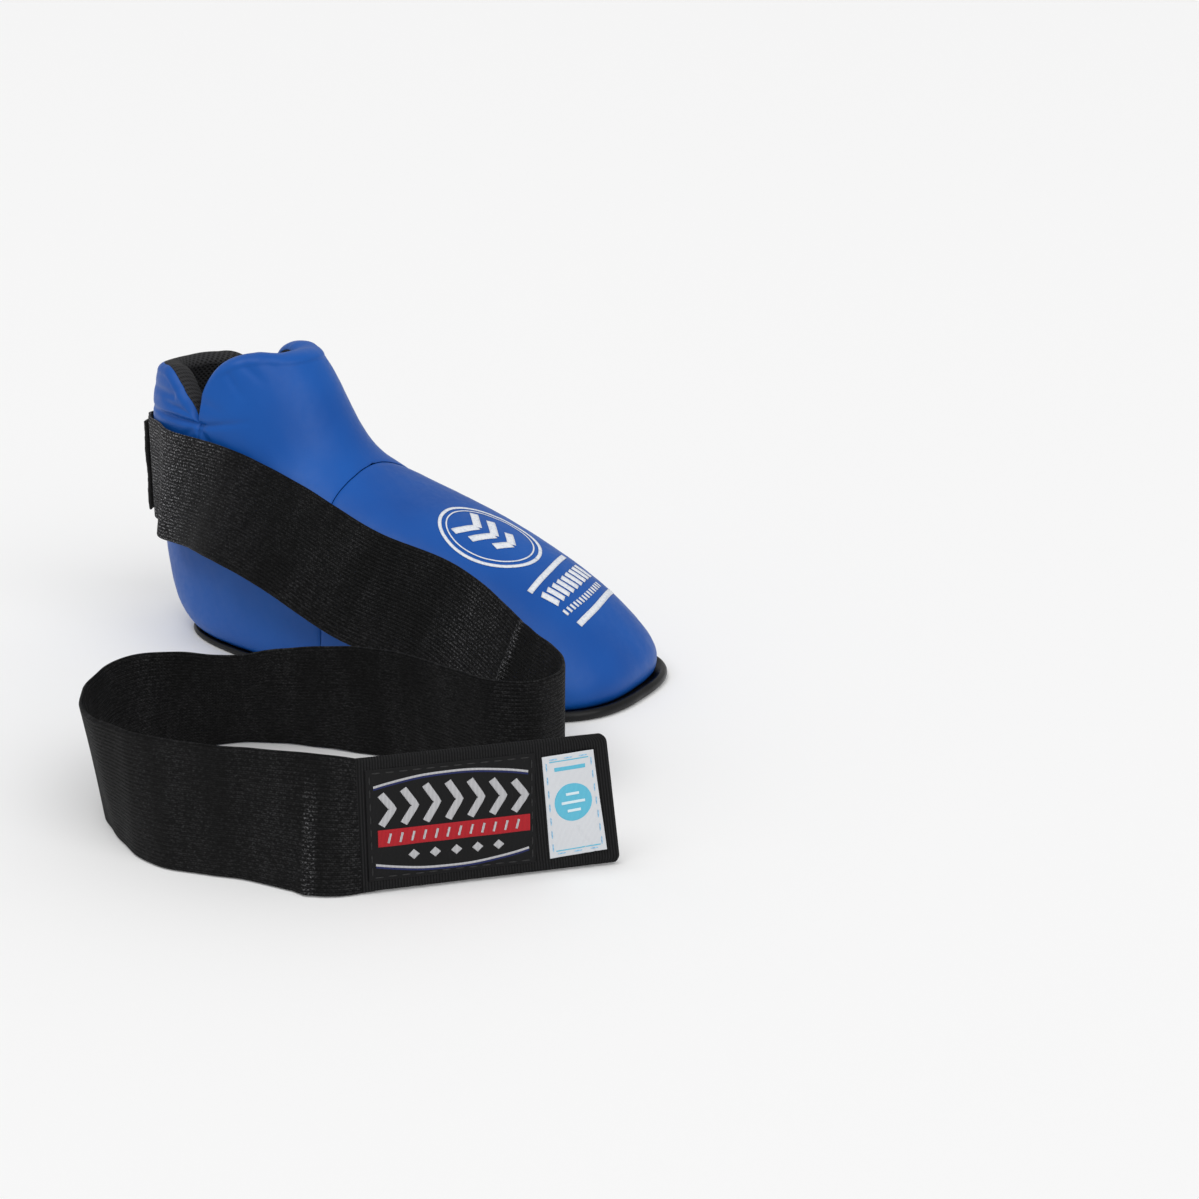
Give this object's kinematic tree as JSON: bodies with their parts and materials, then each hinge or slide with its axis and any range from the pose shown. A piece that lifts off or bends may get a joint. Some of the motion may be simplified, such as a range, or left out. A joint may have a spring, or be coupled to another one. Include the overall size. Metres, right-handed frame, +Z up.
{
  "type": "foot guard",
  "caption": "Padded foot guard for kicking sports: open-soled shoe shell with folding heel cuff and a long elastic strap ending in a hook-and-loop tab.",
  "frame": {"origin": "on the floor, middle of the welt's bottom face at the back of the heel", "axes": "+X towards the toes, +Z up, -Y side carries the opened strap"},
  "size_m": [0.3714, 0.3214, 0.1521],
  "materials": {
    "cover_leather": "satin coated synthetic leather, royal blue",
    "padding": "closed-cell foam, matt",
    "lining_mesh": "knitted spacer mesh, black",
    "welt": "rolled synthetic leather strip, semi-gloss black",
    "elastic": "woven elastic, black",
    "webbing": "ribbed woven elastic webbing, charcoal black",
    "label_weave": "woven label, black with silver and red",
    "tag_weave": "woven tag, white with pale blue",
    "hook_tape": "hook tape, black",
    "loop_tape": "brushed loop tape, black",
    "thread": "polyester thread, black"
  },
  "bodies": {
    "root": {"toe_cover": "cover_leather", "ankle_cover": "cover_leather", "toe_foam": "padding", "ankle_foam": "padding", "toe_lining": "lining_mesh", "ankle_lining": "lining_mesh", "rim_welt": "welt", "toe_band": "elastic", "strap_side_run": "webbing", "heel_loop_panel": "loop_tape", "heel_stitches": "thread"},
    "cuff": {"cuff_cover": "cover_leather", "cuff_foam": "padding", "cuff_lining": "lining_mesh"},
    "strap_rear": {"strap_rear_run": "webbing"},
    "strap_front": {"strap_front_run": "webbing"},
    "tab": {"strap_tab": "webbing", "woven_label": "label_weave", "approval_tag": "tag_weave", "hook_panel": "hook_tape", "tab_stitches": "thread"}
  },
  "joints": [
    {"name": "cuff_fold", "type": "hinge", "parent": "root", "child": "cuff", "pos_m": [-0.0235, 0, 0.11715], "axis": [0, 1, 0], "range_deg": [-25, 0], "stiffness_Nm_per_rad": 0.3},
    {"name": "first_bend", "type": "hinge", "parent": "root", "child": "strap_rear", "pos_m": [0.286, -0.124, 0], "axis": [0, 0, 1], "range_deg": [0, 70]},
    {"name": "second_bend", "type": "hinge", "parent": "strap_rear", "child": "strap_front", "pos_m": [0.113, -0.199, 0], "axis": [0, 0, 1], "range_deg": [-60, 8]},
    {"name": "tab_seam", "type": "hinge", "parent": "strap_front", "child": "tab", "pos_m": [0.26767, -0.24322, 0], "axis": [0, 0, 1], "range_deg": [-60, 15]}
  ]
}
